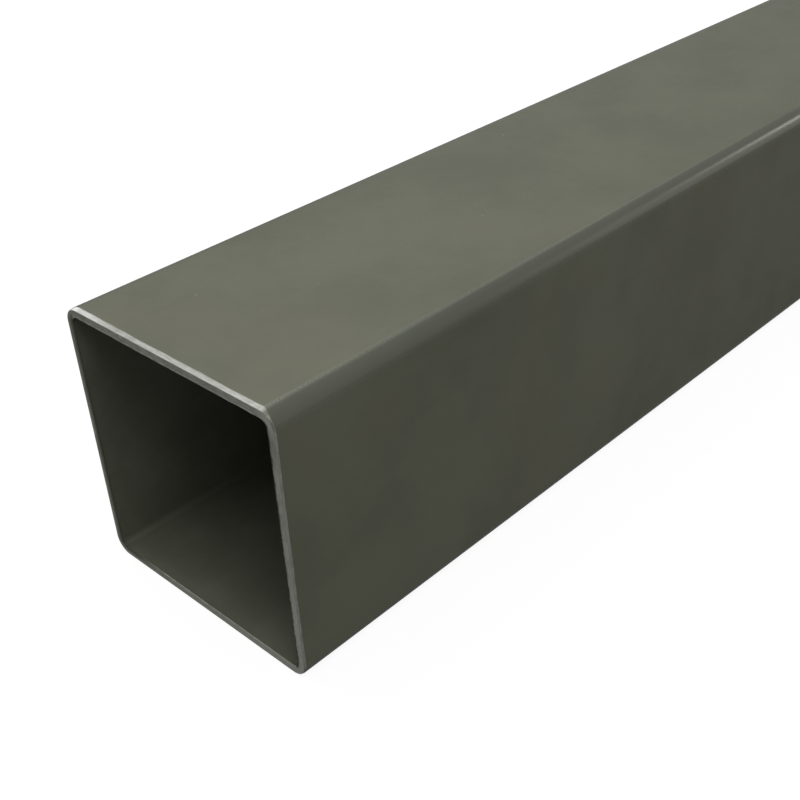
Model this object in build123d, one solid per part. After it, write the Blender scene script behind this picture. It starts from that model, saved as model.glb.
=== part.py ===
from build123d import *

import os

# Square hollow section: steel strip roll formed into a square tube, its seam dressed flush,
# and sawn square at both ends. One piece. Millimetres, +Z up.
# The tube lies along Y on its lower flat. The origin is the middle of that flat, halfway
# between the two sawn ends.

# Section
SECTION_SIZE = 100.0  # over the flats, the same across and up
WALL = 3.0  # strip thickness, even all round
INNER_BEND_RADIUS = 3.0  # inside of each of the four bends

# Cut length
LENGTH = 1000.0

# Filed edge: at each end a flat file has bevelled the end of the upper face
FILED_LENGTH = 1.9  # from the sawn face along the tube
FILED_DEPTH = 0.4  # from the face into the wall, at the sawn face

# Eased edges: at each end the other three faces have only lost the saw's burr
EASED_LENGTH = 0.8
EASED_DEPTH = 0.25

# Derived sizes
OUTER_BEND_RADIUS = INNER_BEND_RADIUS + WALL
BORE_SIZE = SECTION_SIZE - 2 * WALL

# Planes through the middle of the tube: across it, seen from the side, and seen from below
MIDDLE = (0, 0, SECTION_SIZE / 2)
SECTION_PLANE = Plane(origin=MIDDLE, x_dir=(1, 0, 0), z_dir=(0, -1, 0))
SIDE_VIEW = Plane(origin=MIDDLE, x_dir=(0, 1, 0), z_dir=(1, 0, 0))
PLAN_VIEW = Plane(origin=MIDDLE, x_dir=(0, 1, 0), z_dir=(0, 0, -1))


def rounded_bar(size, radius):
    """A bar of square section with four equal bends, over the whole cut length."""
    return extrude(SECTION_PLANE * RectangleRounded(size, size, radius), LENGTH / 2, both=True)


def filed_bar(view, upper_length, upper_depth, lower_length, lower_depth):
    """A square bar with the four corners of one view cut, the upper and lower pairs each by a
    length along the tube and a depth into it."""
    half_length, half_size = LENGTH / 2, SECTION_SIZE / 2
    far_end = [
        (half_length - lower_length, -half_size),
        (half_length, lower_depth - half_size),
        (half_length, half_size - upper_depth),
        (half_length - upper_length, half_size),
    ]
    near_end = [(-along, up) for along, up in reversed(far_end)]
    return extrude(view * Polygon(*far_end, *near_end, align=None), half_size, both=True)


def square_tube():
    """The formed strip: the outer bar, within what the files leave, with the bore taken out."""
    upright = filed_bar(SIDE_VIEW, FILED_LENGTH, FILED_DEPTH, EASED_LENGTH, EASED_DEPTH)
    across = filed_bar(PLAN_VIEW, EASED_LENGTH, EASED_DEPTH, EASED_LENGTH, EASED_DEPTH)
    outer = rounded_bar(SECTION_SIZE, OUTER_BEND_RADIUS) & upright & across
    return outer - rounded_bar(BORE_SIZE, INNER_BEND_RADIUS)


def main():
    os.makedirs("parts", exist_ok=True)
    export_step(square_tube(), "parts/square_tube.step")


main()
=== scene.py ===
import logging
import math
from dataclasses import dataclass, field
from enum import Enum
from typing import Any

import bpy
import numpy as np
from mathutils import Euler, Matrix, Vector


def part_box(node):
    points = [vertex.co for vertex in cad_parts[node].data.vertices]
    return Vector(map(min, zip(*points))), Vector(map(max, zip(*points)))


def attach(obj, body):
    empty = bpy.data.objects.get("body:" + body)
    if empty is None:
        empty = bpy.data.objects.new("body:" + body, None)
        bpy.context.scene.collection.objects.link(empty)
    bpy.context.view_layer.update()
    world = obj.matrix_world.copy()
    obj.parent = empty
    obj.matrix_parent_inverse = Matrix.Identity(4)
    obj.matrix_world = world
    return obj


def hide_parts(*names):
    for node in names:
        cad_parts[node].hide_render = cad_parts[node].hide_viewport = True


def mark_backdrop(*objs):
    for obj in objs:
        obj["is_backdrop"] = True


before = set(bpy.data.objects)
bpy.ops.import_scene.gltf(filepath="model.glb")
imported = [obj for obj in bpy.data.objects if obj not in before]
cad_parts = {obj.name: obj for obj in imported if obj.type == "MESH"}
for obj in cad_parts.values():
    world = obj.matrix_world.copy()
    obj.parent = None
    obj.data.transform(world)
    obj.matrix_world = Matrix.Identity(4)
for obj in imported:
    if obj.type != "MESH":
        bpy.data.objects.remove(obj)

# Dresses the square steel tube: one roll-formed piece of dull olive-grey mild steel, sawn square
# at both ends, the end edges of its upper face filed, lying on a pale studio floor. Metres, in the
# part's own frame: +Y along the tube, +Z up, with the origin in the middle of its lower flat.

LOG = logging.getLogger("square_tube")
MM = 0.001

Array = np.ndarray
Node = bpy.types.Node
Socket = bpy.types.NodeSocket
Material = bpy.types.Material
Colour = tuple[float, float, float]
Place = tuple[float, float, float]
Pair = tuple[float, float]
Wave = tuple[float, float, float]  # weight, count round the section and start
WHITE = (1.0, 1.0, 1.0)
GRAIN_SPAN: Pair = (0.3, 0.7)  # where nearly all of the fine grain's values lie


class Region(Enum):
    """The stretches of the wall that have a finish of their own, in material slot order."""

    SKIN = 0
    SAWN = 1
    BORE = 2


class Measure(Enum):
    """What the tube's mesh stores at each point for its finishes to read."""

    CUT = "cut"  # 1 where a file has bared the skin
    BEND = "bend"  # 1 in the middle of a bend, 0 on a flat
    THROUGH = "through"  # 0 on the skin, 1 on the bore


# ---------------------------------------------------------------------------------- node sheets


class Sheet:
    """A node tree with short ways to add its nodes and join them."""

    def __init__(self, tree: bpy.types.NodeTree) -> None:
        """Empties the tree.

        Args:
            tree: The node tree to fill.
        """
        self.tree = tree
        tree.nodes.clear()

    def add(self, kind: str, inputs: dict[Any, Any] | None = None, **settings: Any) -> Node:
        """Adds a node.

        Args:
            kind: The node's type without its "ShaderNode", or a full type name.
            inputs: What each input takes, by name or number: a value, or a socket to join to it.
            **settings: The node's own properties.

        Returns:
            The new node.
        """
        node = self.tree.nodes.new(kind if kind.startswith("Node") else "ShaderNode" + kind)
        for name, value in settings.items():
            setattr(node, name, value)
        for name, value in (inputs or {}).items():
            if isinstance(value, Socket):
                self.tree.links.new(value, node.inputs[name])
            else:
                node.inputs[name].default_value = value
        return node

    def maths(self, operation: str, *values: Any, clamp: bool = False) -> Socket:
        """Adds a Math node on up to three values or sockets.

        Args:
            operation: The Math node's operation.
            *values: Its inputs, in order.
            clamp: Whether the result stays from 0 to 1.

        Returns:
            The result's socket.
        """
        return self.add("Math", dict(enumerate(values)), operation=operation, use_clamp=clamp).outputs[0]

    def stretch(
        self, value: Socket, low: float, high: float, start: float = 0.0, end: float = 1.0
    ) -> Socket:
        """Maps the range from low to high smoothly on to start to end, held beyond both.

        Args:
            value: The socket to map.
            low: The value that becomes start.
            high: The value that becomes end.
            start: The result at low.
            end: The result at high.

        Returns:
            The result's socket.
        """
        inputs = {"Value": value, "From Min": low, "From Max": high, "To Min": start, "To Max": end}
        return self.add("MapRange", inputs, interpolation_type="SMOOTHSTEP").outputs["Result"]

    def blend(self, share: Any, first: Any, second: Any) -> Socket:
        """Mixes two colours.

        Args:
            share: How much of the second colour shows, from 0 to 1.
            first: A colour or a colour socket.
            second: A colour or a colour socket.

        Returns:
            The mixed colour's socket.
        """
        first, second = (c if isinstance(c, Socket) else (*c, 1.0) for c in (first, second))
        return self.add("Mix", {0: share, 6: first, 7: second}, data_type="RGBA").outputs[2]

    def between(self, share: Any, first: Any, second: Any) -> Socket:
        """Mixes two numbers.

        Args:
            share: How much of the second number shows, from 0 to 1.
            first: A number or its socket.
            second: A number or its socket.

        Returns:
            The mixed number's socket.
        """
        return self.add("Mix", {0: share, 2: first, 3: second}).outputs[0]

    def noise(self, place: Socket, scale: Any, detail: float, roughness: float = 0.55) -> Socket:
        """Adds a noise texture.

        Args:
            place: Where it reads.
            scale: How many features there are to the metre.
            detail: How many finer layers it has.
            roughness: How strong the finer layers are.

        Returns:
            The noise's socket.
        """
        inputs = {"Vector": place, "Scale": scale, "Detail": detail, "Roughness": roughness}
        return self.add("TexNoise", inputs).outputs[0]

    def squeezed(self, place: Socket, x: Any, y: Any, z: Any) -> Socket:
        """Scales a place along each axis, which draws a texture out along the smallest.

        Args:
            place: The place's socket.
            x: The scale along X.
            y: The scale along Y.
            z: The scale along Z.

        Returns:
            The scaled place's socket.
        """
        scale = self.add("CombineXYZ", {0: x, 1: y, 2: z}).outputs[0]
        return self.add("VectorMath", {0: place, 1: scale}, operation="MULTIPLY").outputs[0]


class Effect:
    """A surface effect that several finishes share, built once as a shader node group."""

    def __init__(self, name: str, inputs: dict[str, float | None], outputs: tuple[str, ...]) -> None:
        """Starts the group with its sockets.

        Args:
            name: The group's name.
            inputs: Each input's name and default: a number, or None for a place.
            outputs: The names of the values that it puts out.
        """
        self.tree = bpy.data.node_groups.new(name, "ShaderNodeTree")
        for label, value in inputs.items():
            kind = "NodeSocketVector" if value is None else "NodeSocketFloat"
            socket = self.tree.interface.new_socket(name=label, in_out="INPUT", socket_type=kind)
            if value is not None:
                socket.default_value = value
        for label in outputs:
            self.tree.interface.new_socket(name=label, in_out="OUTPUT", socket_type="NodeSocketFloat")
        self.sheet = Sheet(self.tree)
        self.given = self.sheet.add("NodeGroupInput").outputs
        self.result = self.sheet.add("NodeGroupOutput").inputs

    def put_out(self, **values: Socket) -> "Effect":
        """Joins the results.

        Args:
            **values: Each output's socket, by the output's name.

        Returns:
            The effect.
        """
        for label, value in values.items():
            self.tree.links.new(value, self.result[label])
        return self

    def on(self, sheet: Sheet, **inputs: Any) -> bpy.types.bpy_prop_collection:
        """Places the effect in a material.

        Args:
            sheet: The material's sheet.
            **inputs: Each input's value or socket, by the input's name.

        Returns:
            The placed group's outputs.
        """
        return sheet.add("Group", inputs, node_tree=self.tree).outputs


@dataclass(frozen=True)
class Effects:
    """The effects that the finishes share."""

    rolled: Effect
    mottle: Effect
    nicks: Effect
    strokes: Effect

    @classmethod
    def build(cls) -> "Effects":
        """Builds each effect once."""
        return cls(rolled_grain(), oxide_mottle(), bright_nicks(), tool_strokes())


def rolled_grain() -> Effect:
    """Fine grain, and long streaks that run with the strip as noise drawn out along Y.

    The height is the grain and half the streaks.

    Returns:
        The effect, with outputs Streaks, Grain and Height.
    """
    inputs = {"Place": None, "Across": 380.0, "Along": 2.5, "Fine": 1500.0}
    effect = Effect("rolled_grain", inputs, ("Streaks", "Grain", "Height"))
    sheet, given = effect.sheet, effect.given
    drawn = sheet.squeezed(given["Place"], given["Across"], given["Along"], given["Across"])
    streaks = sheet.noise(drawn, scale=1.0, detail=3.0, roughness=0.6)
    grain = sheet.noise(given["Place"], given["Fine"], detail=2.0)
    height = sheet.maths("MULTIPLY_ADD", streaks, 0.5, grain)
    return effect.put_out(Streaks=streaks, Grain=grain, Height=height)


def oxide_mottle() -> Effect:
    """Soft cloudy patches where the oxide film is thicker.

    Returns:
        The effect, with the output Patches.
    """
    effect = Effect("oxide_mottle", {"Place": None, "Scale": 16.0}, ("Patches",))
    sheet, given = effect.sheet, effect.given
    clouds = sheet.noise(given["Place"], given["Scale"], detail=4.0, roughness=0.72)
    return effect.put_out(Patches=sheet.stretch(clouds, low=0.3, high=0.7))


def bright_nicks() -> Effect:
    """Sparse small nicks: how near a point is to its cell's middle, in the few cells that are drawn.

    Returns:
        The effect, with the output Nicks.
    """
    smallest = 0.005
    inputs = {"Place": None, "Scale": 90.0, "Share": 0.1, "Size": 0.09}
    effect = Effect("bright_nicks", inputs, ("Nicks",))
    sheet, given = effect.sheet, effect.given
    cells = sheet.add("TexVoronoi", {"Vector": given["Place"], "Scale": given["Scale"]}).outputs
    draw = sheet.add("SeparateColor", {0: cells["Color"]}).outputs
    size = sheet.maths("MAXIMUM", sheet.maths("MULTIPLY", given["Size"], draw[1]), smallest)
    spot = sheet.maths("SUBTRACT", 1.0, sheet.maths("DIVIDE", cells["Distance"], size), clamp=True)
    drawn = sheet.maths("LESS_THAN", draw[0], given["Share"])
    return effect.put_out(Nicks=sheet.maths("MULTIPLY", spot, drawn))


def tool_strokes() -> Effect:
    """The strokes that a file or a deburring belt leaves round the section, on the tube's own map.

    Returns:
        The effect, with outputs Strokes and Height.
    """
    inputs = {"Place": None, "Round": 70.0, "Across": 4200.0}
    effect = Effect("tool_strokes", inputs, ("Strokes", "Height"))
    sheet, given = effect.sheet, effect.given
    drawn = sheet.squeezed(given["Place"], given["Round"], given["Across"], 0.0)
    lines = sheet.noise(drawn, scale=1.0, detail=3.0, roughness=0.65)
    return effect.put_out(Strokes=sheet.stretch(lines, low=0.25, high=0.75), Height=lines)


# -------------------------------------------------------------------------------------- finishes


class Finish:
    """A material under construction, with the sockets that the tube's finishes read."""

    def __init__(self, name: str) -> None:
        """Starts the material.

        Args:
            name: The material's name.
        """
        self.material = bpy.data.materials.new(name)
        self.material.use_nodes = True
        self.sheet = Sheet(self.material.node_tree)
        self.place = self.sheet.add("TexCoord").outputs["Object"]
        self.map = self.sheet.add("UVMap", uv_map=SquareTube.MAP_NAME).outputs[0]

    def measure(self, which: Measure) -> Socket:
        """The socket of one of the tube's measures."""
        return self.sheet.add("Attribute", attribute_name=which.value).outputs["Fac"]

    def close(
        self, colour: Socket, roughness: Socket, metallic: Any, height: Socket, relief: float
    ) -> Material:
        """Adds the bump, the shader and the output.

        Args:
            colour: The base colour.
            roughness: The roughness.
            metallic: How much of the surface is bare metal, a number or a socket.
            height: The relief, from 0 to 1.
            relief: How deep the relief is, in metres.

        Returns:
            The finished material.
        """
        bump = self.sheet.add("Bump", {"Strength": 1.0, "Distance": relief, "Height": height}).outputs[0]
        inputs = {"Base Color": colour, "Roughness": roughness, "Metallic": metallic, "Normal": bump}
        shader = self.sheet.add("BsdfPrincipled", inputs)
        self.sheet.add("OutputMaterial", {"Surface": shader.outputs[0]})
        return self.material


@dataclass(frozen=True)
class MillSkin:
    """The rolled outside of the strip, rubbed smooth and greyer on its bends.

    Where a file has cut it the steel is bare; towards the left bend the bare colour is lifted to near
    white, a painted highlight, and round the right bend it turns back to the skin's colour, a painted
    shade, and is rougher.
    """

    film: Colour = (0.1235, 0.131, 0.090)
    thin_film: Colour = (0.1565, 0.166, 0.115)
    warm_film: Colour = (0.165, 0.158, 0.110)
    rubbed_film: Colour = (0.143, 0.152, 0.127)
    bare: Colour = (0.27, 0.275, 0.246)
    bright_bare: Colour = (0.44, 0.445, 0.413)
    # Painted highlight: the near white that the bare steel is lifted to towards the left bend
    painted_highlight_white: Colour = (0.97, 0.98, 0.96)
    film_metal: float = 0.35
    bare_metal: float = 0.6
    film_roughness: Pair = (0.38, 0.48)
    bend_roughness: Pair = (0.20, 0.24)
    bare_roughness: Pair = (0.30, 0.42)
    dull_roughness: float = 0.5
    relief: float = 0.001 * MM
    # Where the painted highlight and the painted shade set in and where they are whole, by X
    highlight_onset_edge: Pair = (-26.0 * MM, -38.0 * MM)
    highlight_peak_edge: Pair = (-41.5 * MM, -45.5 * MM)
    shade_and_dull_edge: Pair = (43.5 * MM, 47.0 * MM)
    # How large and how strong each effect is
    streak_share: float = 0.5
    grain_share: float = 0.15
    tone_span: Pair = (0.0, 1.65)
    warm_scale: float = 5.0
    warm_span: Pair = (0.5, 1.0)
    warm_share: float = 0.4
    rubbed_share: float = 0.6
    nick_share: float = 0.6
    highlight_share: float = 0.3
    shade_and_dull_share: float = 0.8
    cut_span: Pair = (0.1, 0.9)
    smear_round: float = 260.0
    smear_across: float = 1500.0
    smooth_share: float = 0.7
    smooth_height: float = 0.6

    def build(self, effects: Effects) -> Material:
        """Makes the material.

        Args:
            effects: The shared effects.

        Returns:
            The finished material.
        """
        finish = Finish("olive_mill_skin")
        sheet = finish.sheet
        rolled = effects.rolled.on(sheet, Place=finish.place)
        mottle = effects.mottle.on(sheet, Place=finish.place)
        warmth = effects.mottle.on(sheet, Place=finish.place, Scale=self.warm_scale)
        nicks = effects.nicks.on(sheet, Place=finish.place)
        strokes = effects.strokes.on(sheet, Place=finish.map)
        reach = {"Round": self.smear_round, "Across": self.smear_across}
        smears = effects.strokes.on(sheet, Place=finish.map, **reach)
        across = sheet.add("SeparateXYZ", {0: finish.place}).outputs[0]
        bend = finish.measure(Measure.BEND)
        cut = sheet.stretch(finish.measure(Measure.CUT), *self.cut_span)
        # Painted shade: round the right bend the bare cut turns back to the skin's colour, and is
        # rougher there
        on_right = sheet.stretch(across, *self.shade_and_dull_edge, end=self.shade_and_dull_share)
        shaded_and_dull = sheet.maths("MULTIPLY", cut, sheet.maths("MULTIPLY", bend, on_right))
        cut = sheet.maths("SUBTRACT", cut, shaded_and_dull)

        tone = sheet.maths("MULTIPLY_ADD", rolled["Streaks"], self.streak_share, mottle["Patches"])
        tone = sheet.maths("MULTIPLY_ADD", rolled["Grain"], self.grain_share, tone)
        film = sheet.blend(sheet.stretch(tone, *self.tone_span), self.film, self.thin_film)
        warm = sheet.stretch(warmth["Patches"], *self.warm_span, end=self.warm_share)
        film = sheet.blend(warm, film, self.warm_film)
        film = sheet.blend(sheet.maths("MULTIPLY", bend, self.rubbed_share), film, self.rubbed_film)
        nicked = sheet.maths("MULTIPLY", nicks["Nicks"], self.nick_share)
        film = sheet.blend(nicked, film, self.bright_bare)
        bare = sheet.blend(smears["Strokes"], self.bare, self.bright_bare)
        # Painted highlight: the bare steel is lifted towards near white towards the left bend
        painted_highlight_mask = sheet.stretch(across, *self.highlight_onset_edge, end=self.highlight_share)
        painted_highlight_mask = sheet.maths("MAXIMUM", painted_highlight_mask, sheet.stretch(across, *self.highlight_peak_edge))
        colour = sheet.blend(cut, film, sheet.blend(painted_highlight_mask, bare, self.painted_highlight_white))

        flat_rough = sheet.stretch(rolled["Grain"], *GRAIN_SPAN, *self.film_roughness)
        bend_rough = sheet.stretch(rolled["Grain"], *GRAIN_SPAN, *self.bend_roughness)
        film_rough = sheet.between(bend, flat_rough, bend_rough)
        bare_rough = sheet.stretch(strokes["Strokes"], 0.0, 1.0, *self.bare_roughness)
        roughness = sheet.between(shaded_and_dull, sheet.between(cut, film_rough, bare_rough), self.dull_roughness)
        metallic = sheet.between(cut, self.film_metal, self.bare_metal)
        smoothness = sheet.maths("MULTIPLY", bend, self.smooth_share)
        smoothed = sheet.between(smoothness, rolled["Height"], self.smooth_height)
        height = sheet.between(cut, smoothed, strokes["Height"])
        return finish.close(colour, roughness, metallic, height, self.relief)


@dataclass(frozen=True)
class SawnSteel:
    """The sawn end of the wall: grey steel, streaked round the section, bright at the bore's burr, where
    the band along the bore edge is partly a painted highlight.

    It is painted lighter towards the lower right bend and in a spot at the upper right one, a painted
    highlight.
    It is darker over the left wall's end and the lower left bend, more so towards the bore, and the
    right wall's bore edge is painted dark unevenly, a painted shade.
    """

    half_section: float
    dark: Colour = (0.235, 0.241, 0.193)
    light: Colour = (0.470, 0.481, 0.407)
    # The burr's bright steel, which along the bore edge is also a painted highlight
    burr: Colour = (0.56, 0.57, 0.50)
    darker_left: Colour = (0.115, 0.119, 0.090)
    # Painted shade: the near black along the right wall's bore edge
    painted_bore_shade: Colour = (0.060, 0.062, 0.046)
    metal: float = 0.6
    roughness: Pair = (0.42, 0.58)
    relief: float = 0.01 * MM
    # How far the painted highlights and the darkening at a bend reach from the section's corner
    lower_right_light_reach: float = 120.0 * MM
    spot_highlight_reach: float = 9.0 * MM
    left_dark_reach: float = 35.0 * MM
    # Where the left wall's darkening and the right wall's painted shade set in and where they are whole,
    # by X
    left_dark_edge: Pair = (-45.5 * MM, -46.9 * MM)
    right_shade_edge: Pair = (45.0 * MM, 46.6 * MM)
    # The same by the share of the way through the wall
    burr_highlight_through: Pair = (0.6, 0.95)
    left_dark_through: Pair = (0.2, 0.9)
    right_shade_through: Pair = (0.93, 1.05)
    # How large and how strong each effect is
    mottle_scale: float = 60.0
    stroke_share: float = 0.4
    smear_share: float = 1.2
    smear_round: float = 350.0
    smear_across: float = 2500.0
    tone_span: Pair = (0.4, 2.2)
    nick_scale: float = 350.0
    nick_share: float = 0.15
    nick_size: float = 0.4
    patch_span: Pair = (0.35, 0.65)
    patch_least: float = 0.25
    streak_least: float = 0.6
    spot_highlight_span: Pair = (0.1, 0.6)
    left_dark_span: Pair = (0.0, 0.8)
    ragged_share: float = 0.3

    def near_corner(self, finish: Finish, side: int, rise: int, reach: float) -> Socket:
        """Fades with the distance from a corner of the section, in X and Z alone.

        Args:
            finish: The material that asks.
            side: 1 for the right corners, -1 for the left ones.
            rise: 0 for the lower corners, 2 for the upper ones.
            reach: The distance at which the share has fallen to 0.

        Returns:
            The share's socket, 1 at the corner.
        """
        sheet = finish.sheet
        corner = (side * self.half_section, 0.0, rise * self.half_section)
        ends = {0: sheet.squeezed(finish.place, 1.0, 0.0, 1.0), 1: corner}
        away = sheet.add("VectorMath", ends, operation="DISTANCE").outputs["Value"]
        return sheet.stretch(away, 0.0, reach, 1.0, 0.0)

    def build(self, effects: Effects) -> Material:
        """Makes the material.

        Args:
            effects: The shared effects.

        Returns:
            The finished material.
        """
        finish = Finish("sawn_steel")
        sheet = finish.sheet
        mottle = effects.mottle.on(sheet, Place=finish.place, Scale=self.mottle_scale)
        strokes = effects.strokes.on(sheet, Place=finish.map)
        reach = {"Round": self.smear_round, "Across": self.smear_across}
        smears = effects.strokes.on(sheet, Place=finish.map, **reach)
        sizes = {"Scale": self.nick_scale, "Share": self.nick_share, "Size": self.nick_size}
        nicks = effects.nicks.on(sheet, Place=finish.place, **sizes)
        tone = sheet.maths("MULTIPLY_ADD", strokes["Strokes"], self.stroke_share, mottle["Patches"])
        tone = sheet.maths("MULTIPLY_ADD", smears["Strokes"], self.smear_share, tone)
        steel = sheet.blend(sheet.stretch(tone, *self.tone_span), self.dark, self.light)

        through = finish.measure(Measure.THROUGH)
        # The burr's bright steel along the bore edge, partly a painted highlight
        patchy = sheet.stretch(smears["Strokes"], *self.patch_span, start=self.patch_least)
        burr_and_painted_highlight = sheet.maths("MULTIPLY", sheet.stretch(through, *self.burr_highlight_through), patchy)
        streaky = sheet.stretch(smears["Strokes"], 0.0, 1.0, start=self.streak_least)
        # Painted highlight: lighter towards the lower right bend and in a spot at the upper right one
        painted_lower_right_light = self.near_corner(finish, 1, 0, self.lower_right_light_reach)
        painted_spot_highlight = sheet.stretch(self.near_corner(finish, 1, 2, self.spot_highlight_reach), *self.spot_highlight_span)
        painted_lower_right_light = sheet.maths("MULTIPLY", sheet.maths("MAXIMUM", painted_lower_right_light, painted_spot_highlight), streaky)
        bright_and_highlight = sheet.maths("MAXIMUM", burr_and_painted_highlight, sheet.maths("MAXIMUM", painted_lower_right_light, nicks["Nicks"]))
        colour = sheet.blend(bright_and_highlight, steel, self.burr)

        across = sheet.add("SeparateXYZ", {0: finish.place}).outputs[0]
        # Darker over the left wall's end and the lower left bend, more so towards the bore
        low_left = self.near_corner(finish, -1, 0, self.left_dark_reach)
        low_left = sheet.stretch(low_left, *self.left_dark_span)
        on_left = sheet.maths("MAXIMUM", sheet.stretch(across, *self.left_dark_edge), low_left)
        left_darkening = sheet.maths("MULTIPLY", on_left, sheet.stretch(through, *self.left_dark_through))
        colour = sheet.blend(left_darkening, colour, self.darker_left)
        # Painted shade: dark, unevenly, along the right wall's bore edge
        ragged = sheet.maths("MULTIPLY_ADD", smears["Strokes"], self.ragged_share, through)
        on_right = sheet.stretch(across, *self.right_shade_edge)
        painted_edge_shade = sheet.maths("MULTIPLY", on_right, sheet.stretch(ragged, *self.right_shade_through))
        colour = sheet.blend(painted_edge_shade, colour, self.painted_bore_shade)
        roughness = sheet.stretch(strokes["Strokes"], 0.0, 1.0, *self.roughness)
        return finish.close(colour, roughness, self.metal, strokes["Height"], self.relief)


@dataclass(frozen=True)
class BoreSkin:
    """The inside of the strip: the same skin, duller, with painted shade in its bends and away from the
    ends.
    """

    dark: Colour = (0.130, 0.134, 0.098)
    light: Colour = (0.160, 0.165, 0.124)
    # Painted shade: the colour deep in the bore and in its bends
    painted_deep_shade: Colour = (0.085, 0.088, 0.062)
    shade_from: Pair = (470.0 * MM, 330.0 * MM)  # from the tube's middle
    bend_shade_share: float = 0.45
    metal: float = 0.2
    roughness: Pair = (0.50, 0.60)
    relief: float = 0.004 * MM
    mottle_scale: float = 26.0
    streak_share: float = 0.5
    tone_span: Pair = (0.2, 1.4)

    def build(self, effects: Effects) -> Material:
        """Makes the material.

        Args:
            effects: The shared effects.

        Returns:
            The finished material.
        """
        finish = Finish("bore_skin")
        sheet = finish.sheet
        rolled = effects.rolled.on(sheet, Place=finish.place)
        mottle = effects.mottle.on(sheet, Place=finish.place, Scale=self.mottle_scale)
        tone = sheet.maths("MULTIPLY_ADD", rolled["Streaks"], self.streak_share, mottle["Patches"])
        film = sheet.blend(sheet.stretch(tone, *self.tone_span), self.dark, self.light)
        # Painted shade: darker away from the ends and in the bends
        along = sheet.maths("ABSOLUTE", sheet.add("SeparateXYZ", {0: finish.place}).outputs[1])
        in_bend = sheet.maths("MULTIPLY", finish.measure(Measure.BEND), self.bend_shade_share)
        shade = sheet.maths("MAXIMUM", sheet.stretch(along, *self.shade_from), in_bend)
        colour = sheet.blend(shade, film, self.painted_deep_shade)
        roughness = sheet.stretch(rolled["Grain"], *GRAIN_SPAN, *self.roughness)
        return finish.close(colour, roughness, self.metal, rolled["Height"], self.relief)


# ------------------------------------------------------------------------------------- the tube


@dataclass(frozen=True)
class EndCut:
    """The flat bevel that a file has left where one face meets a sawn end."""

    length: float  # along the tube, from the sawn face
    depth: float  # into the wall, at the sawn face


@dataclass(frozen=True)
class SectionLine:
    """The columns of the tube's surface: where each stands round the section."""

    middle: Array  # (n, 2) X and Z on the square that joins the centres of the four bends
    outward: Array  # (n, 2) the unit direction out of the wall
    across: Array  # (n,) -1 to 1 from one bend to the next, and 1 all round a bend
    bend: Array  # (n,) 0 on a flat and 1 in the middle of a bend
    girth: Array  # (n + 1,) metres round the section to each column, and all the way


@dataclass(frozen=True)
class WallLine:
    """The rows of the tube's surface: one loop out along the skin and back along the bore."""

    end: Array  # (m,) -1 on the near half of the tube and 1 on the far half
    from_end: Array  # (m,) metres from that half's sawn face
    through: Array  # (m,) 0 on the skin and 1 on the bore
    region: Array  # (m,) the region's number for the band of faces after each row


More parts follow.
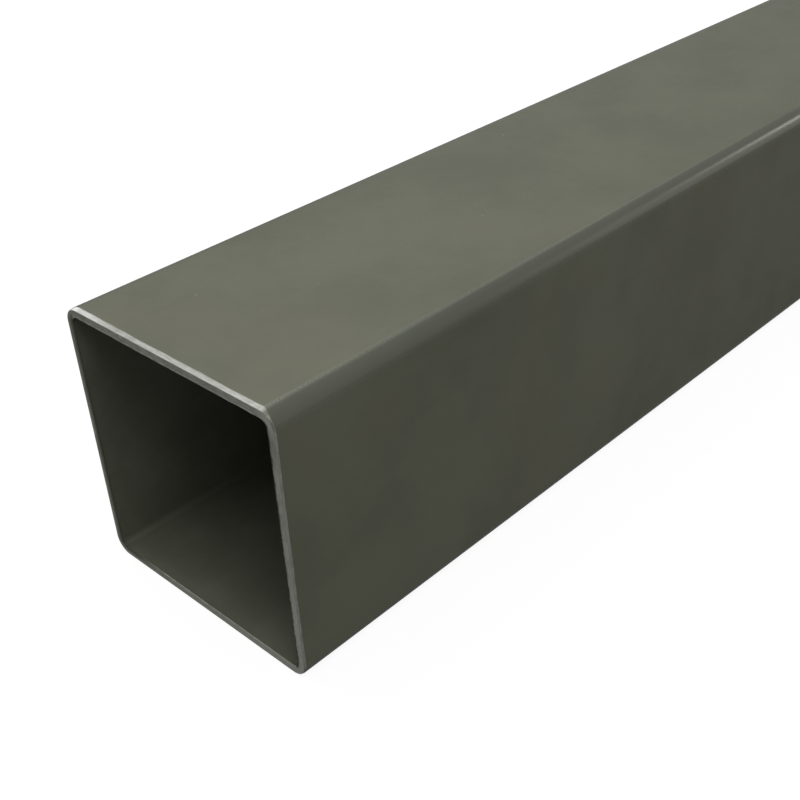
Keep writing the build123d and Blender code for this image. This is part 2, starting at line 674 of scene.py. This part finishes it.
@dataclass
class SquareTube:
    """The tube, one closed surface over two parameters: round the section, and round the wall."""

    MAP_NAME = "wall_map"
    NODE = "square_tube"

    wall: float = 3.0 * MM
    inner_bend: float = 3.0 * MM
    filed: EndCut = EndCut(1.9 * MM, 0.4 * MM)
    eased: EndCut = EndCut(0.8 * MM, 0.25 * MM)
    waver: float = 0.05
    waves: tuple[Wave, ...] = ((1.0, 2.3, 0.0), (0.7, 5.1, 1.7), (0.45, 11.3, 0.6))
    crown: float = 1.3
    cut_fade: float = 6.0
    cut_blend: float = 0.03 * MM
    skin_arris: float = 0.12 * MM
    bore_arris: float = 0.20 * MM
    burr_height: float = 0.20 * MM
    burr_reach: float = 0.35 * MM
    burr_root: float = 0.125  # the share of the wall over which the burr rises
    face_hollow: float = 0.05 * MM
    # How many columns and rows each stretch has
    flat_columns: int = 72
    bend_columns: int = 18
    arris_rows: int = 5
    long_rows: int = 14
    bevel_rows: int = 15
    sawn_rows: int = 7
    # Where the rows stand, as shares of the length of a cut, of the wall and of the burr's reach
    approach: Pair = (5.0, 2.5)
    bevel_span: Pair = (1.3, 0.7)
    inside_cut: float = 0.45
    sawn_span: Pair = (0.1, 0.87)
    burr_steps: tuple[float, ...] = (1.0, 2.0, 4.0)
    low: Vector = field(init=False)
    high: Vector = field(init=False)

    def __post_init__(self) -> None:
        """Takes the outer sizes from the frame's own tube."""
        self.low, self.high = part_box(self.NODE)

    @property
    def size(self) -> float:
        """The section's size over the flats."""
        return self.high.x - self.low.x

    @property
    def length(self) -> float:
        """The cut length."""
        return self.high.y - self.low.y

    @property
    def outer_bend(self) -> float:
        """The outside radius of a bend."""
        return self.inner_bend + self.wall

    @property
    def half_flat(self) -> float:
        """Half the width of a flat, between the bends."""
        return self.size / 2 - self.outer_bend

    def section_line(self) -> SectionLine:
        """Works out the columns, clockwise as seen along +Y from the left of the upper flat.

        On flat k a column stands at c * (normal k + t * tangent k), where c is half a flat's width
        and t goes from -1 to 1 as a sine, so that the columns crowd towards the bends. In a bend it
        stands at the bend's centre while its normal turns by a right angle, and its bend measure is
        1 - (1 - sin(2 * a)) ** 3 at the turn a.

        Returns:
            The columns.
        """
        turns = np.arange(4)[:, None] * (math.pi / 2)
        on_flat = np.sin(np.linspace(-math.pi / 2, math.pi / 2, self.flat_columns + 1))
        in_bend = np.linspace(0.0, math.pi / 2, self.bend_columns + 1)[1:-1]
        across = np.concatenate([on_flat, np.ones_like(in_bend)])[None, :]
        angle = turns + np.concatenate([np.zeros_like(on_flat), in_bend])[None, :]
        along_x = np.sin(turns) + across * np.cos(turns)
        along_z = np.cos(turns) - across * np.sin(turns)
        middle = self.half_flat * np.stack([along_x, along_z], 2).reshape(-1, 2)
        outward = np.stack([np.sin(angle), np.cos(angle)], 2).reshape(-1, 2)
        rounded = 1 - (1 - np.sin(2 * in_bend)) ** 3
        bend = np.tile(np.concatenate([np.zeros_like(on_flat), rounded]), 4)
        line = middle + (self.inner_bend + self.wall / 2) * outward
        steps = np.linalg.norm(np.roll(line, -1, 0) - line, axis=1)
        girth = np.concatenate([[0.0], np.cumsum(steps)])
        return SectionLine(middle, outward, np.tile(across[0], 4), bend, girth)

    def arris(self, radius: float) -> tuple[Array, Array]:
        """Rounds an edge of the sawn face as a quarter circle, from the skin or the bore inwards.

        Args:
            radius: The edge's radius.

        Returns:
            Distances from the sawn face, r * (1 - sin), and into the wall, r * (1 - cos).
        """
        turn = np.linspace(0.0, math.pi / 2, self.arris_rows)
        return radius * (1 - np.sin(turn)), radius * (1 - np.cos(turn))

    def wall_line(self) -> WallLine:
        """Works out the rows: from the middle of the skin to the near end, through the bore to the
        far end, and back along the skin.

        Each row has a distance from the sawn face and a share of the way through the wall. The
        rows crowd where the files' bevels end and round the two arrises of the sawn face.

        Returns:
            The rows.
        """
        skin_face, skin_depth = self.arris(self.skin_arris)
        bore_face, bore_depth = self.arris(self.bore_arris)
        nearing, close = np.array(self.approach) * self.filed.length
        plain = np.linspace(self.length / 2, nearing, self.long_rows)
        steps = np.linspace(*self.bevel_span, self.bevel_rows)
        bevels = [steps * cut.length for cut in (self.filed, self.eased)]
        skin = np.concatenate([plain, [close], *bevels, [self.inside_cut * self.eased.length]])
        sawn = np.linspace(*self.sawn_span, self.sawn_rows)
        bore = np.concatenate([np.array(self.burr_steps) * self.burr_reach, plain[::-1]])

        from_end = np.concatenate([skin, skin_face, 0 * sawn, bore_face[::-1], bore])
        to_bore = 1 - bore_depth[::-1] / self.wall
        through = np.concatenate([0 * skin, skin_depth / self.wall, sawn, to_bore, 1 + 0 * bore])
        counts = (len(skin) + self.arris_rows - 1, len(sawn) + self.arris_rows + 1, len(bore) - 1)
        bands = np.repeat([Region.SKIN.value, Region.SAWN.value, Region.BORE.value], counts)
        inner = slice(-2, 0, -1)
        return WallLine(
            end=np.concatenate([-np.ones_like(from_end), np.ones_like(from_end[inner])]),
            from_end=np.concatenate([from_end, from_end[inner]]),
            through=np.concatenate([through, through[inner]]),
            region=np.concatenate([bands, bands[::-1]]),
        )

    def filed_off(self, columns: SectionLine, rows: WallLine) -> Array:
        """How much the files have taken off the skin, below 0 past the end of their cut.

        At the distance s from the sawn face a cut has taken depth * (1 - s / length), a little
        crowned by a power over 1. The upper face has the filed cut, which fades into the eased cut
        round its two bends, as a power of how far the outward normal rises. The length wavers
        round the section as a sum of sines, each with a weight, a count and a start.

        Args:
            columns: The columns of the surface.
            rows: The rows of the surface.

        Returns:
            (m, n) the thickness that is gone.
        """
        upper = np.clip(columns.outward[:, 1], 0.0, 1.0) ** self.cut_fade
        length = self.eased.length + (self.filed.length - self.eased.length) * upper
        depth = self.eased.depth + (self.filed.depth - self.eased.depth) * upper
        phase = columns.girth[:-1] / self.size * 2 * math.pi + 2.7 * rows.end[:, None]
        sines = sum(weight * np.sin(count * phase + start) for weight, count, start in self.waves)
        left = 1 - rows.from_end[:, None] / (length * (1 + self.waver * sines))
        return depth * np.sign(left) * np.abs(left) ** self.crown

    def burr(self, columns: SectionLine, rows: WallLine) -> Array:
        """How far the saw's burr stands into the bore.

        It is h * exp(-(s / reach) ** 2) at the distance s from the sawn face, where h swells and
        fades round the section as a half plus products of sines of unlike counts. It rises in a
        straight line over the last of the wall.

        Args:
            columns: The columns of the surface.
            rows: The rows of the surface.

        Returns:
            (m, n) the burr's height.
        """
        turn = columns.girth[:-1] / columns.girth[-1] * 2 * math.pi
        swell = 0.5 + 0.3 * np.sin(13 * turn + 0.8) * np.sin(5 * turn) + 0.2 * np.sin(37 * turn)
        swell += 0.3 * np.sin(61 * turn + 1.0) * np.sin(17 * turn)
        rise = np.clip(1 - (1 - rows.through) / self.burr_root, 0, 1)
        fade = np.exp(-((rows.from_end / self.burr_reach) ** 2)) * rise
        return self.burr_height * fade[:, None] * swell[None, :]

    def surface(self) -> tuple[Array, Array, SectionLine, WallLine]:
        """Works out every point of the surface.

        The skin is the bend centres' square plus the outside radius times the outward normal, less
        what the files have taken off. The bore is the same with the inside radius. A point between
        them is a straight mix of the two. Each flat is hollow by a hair: h * (1 - t * t) ** 2
        inwards, where t goes from -1 to 1 across it. Within the blend b of a cut's end, a further
        (b - d) ** 2 / 4b is off at the thickness d, which rounds the bevel's edge.

        Returns:
            (m, n, 3) the points, (m, n) how far a file has cut, from 0 to 1, the columns and rows.
        """
        columns, rows = self.section_line(), self.wall_line()
        off = self.filed_off(columns, rows)
        cut = np.clip(off / self.cut_blend, 0.0, 1.0)
        rounding = np.clip(1 - np.abs(off) / self.cut_blend, 0.0, 1.0) ** 2 * self.cut_blend / 4
        reach = self.outer_bend - np.maximum(off, 0.0) - rounding
        skin = columns.middle + reach[:, :, None] * columns.outward

        bore = columns.middle + self.inner_bend * columns.outward
        hollow = self.face_hollow * (1 - columns.across**2) ** 2
        inwards = hollow[None, :] + self.burr(columns, rows)
        through = rows.through[:, None, None]
        flat = (1 - through) * skin + through * bore - inwards[:, :, None] * columns.outward[None]

        points = np.empty((*flat.shape[:2], 3))
        points[:, :, 0], points[:, :, 2] = flat[:, :, 0], flat[:, :, 1]
        points[:, :, 1] = (rows.end * (self.length / 2 - rows.from_end))[:, None]
        middle = np.array((self.low + self.high) / 2)
        return points + middle, cut * (rows.through[:, None] < 0.5), columns, rows

    def mesh(self) -> bpy.types.Mesh:
        """Makes the closed mesh, with its regions, its map and its measures.

        Face (i, j) joins rows i and i + 1 with columns j and j + 1, and both close on themselves.
        The map is in metres, round the section and along the wall's own outline.

        Returns:
            The mesh.
        """
        points, cut, columns, rows = self.surface()
        m, n = cut.shape
        row, column = np.meshgrid(np.arange(m), np.arange(n), indexing="ij")
        corner_rows = np.stack([row, row + 1, row + 1, row], 2).reshape(-1, 4)
        corner_columns = np.stack([column, column, column + 1, column + 1], 2).reshape(-1, 4)
        faces = (corner_rows % m) * n + corner_columns % n
        mesh = bpy.data.meshes.new(self.NODE)
        mesh.from_pydata(points.reshape(-1, 3), [], faces)
        mesh.polygons.foreach_set("use_smooth", np.ones(m * n, bool))
        mesh.polygons.foreach_set("material_index", np.repeat(rows.region, n).astype(np.int32))

        outline = points[:, 0, :]
        steps = np.linalg.norm(np.roll(outline, -1, 0) - outline, axis=1)
        along_wall = np.concatenate([[0.0], np.cumsum(steps)])
        own_map = np.stack([columns.girth[corner_columns], along_wall[corner_rows]], 2)
        layer = mesh.uv_layers.new(name=self.MAP_NAME)
        layer.uv.foreach_set("vector", own_map.astype(np.float32).ravel())
        measures = {
            Measure.CUT: cut,
            Measure.BEND: columns.bend[None, :],
            Measure.THROUGH: rows.through[:, None],
        }
        for which, values in measures.items():
            values = np.broadcast_to(values, (m, n)).astype(np.float32)
            mesh.attributes.new(which.value, "FLOAT", "POINT").data.foreach_set("value", values.ravel())
        return mesh

    def build(self, effects: Effects) -> bpy.types.Object:
        """Makes the tube, dresses it and puts it in the place of the frame's own.

        Args:
            effects: The shared effects.

        Returns:
            The tube.
        """
        mesh = self.mesh()
        for finish in (MillSkin(), SawnSteel(self.size / 2), BoreSkin()):
            mesh.materials.append(finish.build(effects))
        tube = bpy.data.objects.new("formed_" + self.NODE, mesh)
        bpy.context.scene.collection.objects.link(tube)
        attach(tube, "root")
        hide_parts(self.NODE)
        LOG.info("%s: %d faces", tube.name, len(mesh.polygons))
        return tube


# -------------------------------------------------------------------------------------- studio


@dataclass(frozen=True)
class SoftBox:
    """A square-cornered soft light, placed by its direction from what it lights."""

    name: str
    turn: float  # degrees clockwise from +Y, seen from above
    rise: float  # degrees above the floor
    width: float
    height: float
    power: float

    def build(self, aim: Place, reach: float) -> bpy.types.Object:
        """Makes the light, facing its aim and out of the camera's sight.

        Args:
            aim: The point that it lights.
            reach: How far it stands from there.

        Returns:
            The light.
        """
        data = bpy.data.lights.new(self.name, "AREA")
        data.shape = "RECTANGLE"
        data.size, data.size_y, data.energy = self.width, self.height, self.power
        turn, rise = math.radians(self.turn), math.radians(self.rise)
        level = math.cos(rise)
        away = Vector((math.sin(turn) * level, math.cos(turn) * level, math.sin(rise)))
        light = bpy.data.objects.new(self.name, data)
        light.location = Vector(aim) + reach * away
        light.rotation_euler = away.to_track_quat("Z", "Y").to_euler()
        light.visible_camera = False
        bpy.context.scene.collection.objects.link(light)
        LOG.info("%s: %.0f W", self.name, self.power)
        return light


@dataclass(frozen=True)
class Studio:
    """A pale floor under a pale room. Both look white, and give the tube a softer, dimmer light."""

    floor_half: float = 8.0
    floor_glow: float = 0.90
    floor_white: float = 0.15
    floor_given: float = 0.17
    floor_shine: float = 0.094
    room_glow: float = 0.329
    aim: Place = (0.0, -0.2, 0.05)
    reach: float = 4.0
    boxes: tuple[SoftBox, ...] = (
        SoftBox("left_box", 280.0, 60.0, 2.8, 2.4, 41.7),
        SoftBox("right_box", 120.0, 60.0, 2.0, 2.0, 52.1),
        SoftBox("low_left_box", 270.0, 30.0, 2.0, 2.0, 9.0),
        SoftBox("far_left_box", 322.0, 42.0, 2.0, 2.4, 7.6),
        SoftBox("far_box", 20.0, 20.0, 0.8, 0.8, 6.2),
        SoftBox("far_right_box", 30.0, 12.0, 2.0, 2.0, 4.0),
        SoftBox("low_right_box", 80.0, 15.0, 1.2, 1.2, 2.0),
    )

    def floor(self) -> bpy.types.Object:
        """Lays the floor, which isn't part of the object.

        Returns:
            The floor.
        """
        reach = self.floor_half
        corners = [(-reach, -reach, 0), (reach, -reach, 0), (reach, reach, 0), (-reach, reach, 0)]
        mesh = bpy.data.meshes.new("studio_floor")
        mesh.from_pydata(corners, [], [(0, 1, 2, 3)])
        mesh.materials.append(self.floor_finish())
        floor = bpy.data.objects.new("studio_floor", mesh)
        bpy.context.scene.collection.objects.link(floor)
        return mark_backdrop(floor)

    def floor_finish(self) -> Material:
        """Makes the floor's material: a lit white sheet to look at, a grey one in what it gives back.

        Returns:
            The finished material.
        """
        material = bpy.data.materials.new("pale_floor")
        material.use_nodes = True
        sheet = Sheet(material.node_tree)
        seen = sheet.add(
            "BsdfPrincipled",
            {
                "Base Color": (*[self.floor_white] * 3, 1.0),
                "Roughness": 0.9,
                "Emission Color": (*WHITE, 1.0),
                "Emission Strength": self.floor_glow,
            },
        )
        given = sheet.add(
            "BsdfPrincipled",
            {
                "Base Color": (*[self.floor_given] * 3, 1.0),
                "Roughness": 1.0,
                "Specular IOR Level": 0.0,
                "Emission Color": (*WHITE, 1.0),
                "Emission Strength": self.floor_shine,
            },
        )
        sight = sheet.add("LightPath").outputs["Is Camera Ray"]
        mixed = sheet.add("MixShader", {0: sight, 1: given.outputs[0], 2: seen.outputs[0]})
        sheet.add("OutputMaterial", {"Surface": mixed.outputs[0]})
        return material

    def room(self) -> None:
        """Sets the room, which looks white and gives an even, dimmer light."""
        world = bpy.data.worlds.new("studio_room")
        bpy.context.scene.world = world
        world.use_nodes = True
        sheet = Sheet(world.node_tree)
        seen = sheet.add("Background", {"Color": (*WHITE, 1.0), "Strength": 1.0})
        given = sheet.add("Background", {"Color": (*WHITE, 1.0), "Strength": self.room_glow})
        sight = sheet.add("LightPath").outputs["Is Camera Ray"]
        mixed = sheet.add("MixShader", {0: sight, 1: given.outputs[0], 2: seen.outputs[0]})
        sheet.add("OutputWorld", {"Surface": mixed.outputs[0]})

    def build(self) -> None:
        """Makes the room, the floor and the lights."""
        self.room()
        self.floor()
        for box in self.boxes:
            box.build(self.aim, self.reach)


@dataclass(frozen=True)
class ProductCamera:
    """The camera: to the right of the near mouth and above it, looking down along the tube."""

    from_mouth: Place = (0.2643, -0.1623, 0.2257)
    turned: Place = (56.395, 2.475, 43.224)  # degrees about X, Y and Z
    lens: float = 53.76
    shift: Pair = (-0.015, 0.015)

    def build(self, tube: SquareTube) -> bpy.types.Object:
        """Makes the camera and sets it as the scene's.

        Args:
            tube: The tube that it looks at.

        Returns:
            The camera.
        """
        data = bpy.data.cameras.new("product_camera")
        data.sensor_width, data.lens = 36.0, self.lens
        data.shift_x, data.shift_y = self.shift
        data.clip_start = 0.01
        camera = bpy.data.objects.new("product_camera", data)
        mouth = Vector((0.0, tube.low.y, (tube.low.z + tube.high.z) / 2))
        camera.location = mouth + Vector(self.from_mouth)
        camera.rotation_euler = Euler([math.radians(turn) for turn in self.turned], "XYZ")
        bpy.context.scene.collection.objects.link(camera)
        bpy.context.scene.camera = camera
        return camera


# ----------------------------------------------------------------------------------------- main


def main() -> None:
    """Builds the tube and the studio round it."""
    logging.basicConfig(level=logging.INFO, format="%(name)s: %(message)s")
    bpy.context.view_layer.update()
    bpy.context.scene.view_settings.view_transform = "Standard"
    tube = SquareTube()
    tube.build(Effects.build())
    ProductCamera().build(tube)
    Studio().build()
    bpy.context.view_layer.update()


if __name__ == "__main__":
    main()
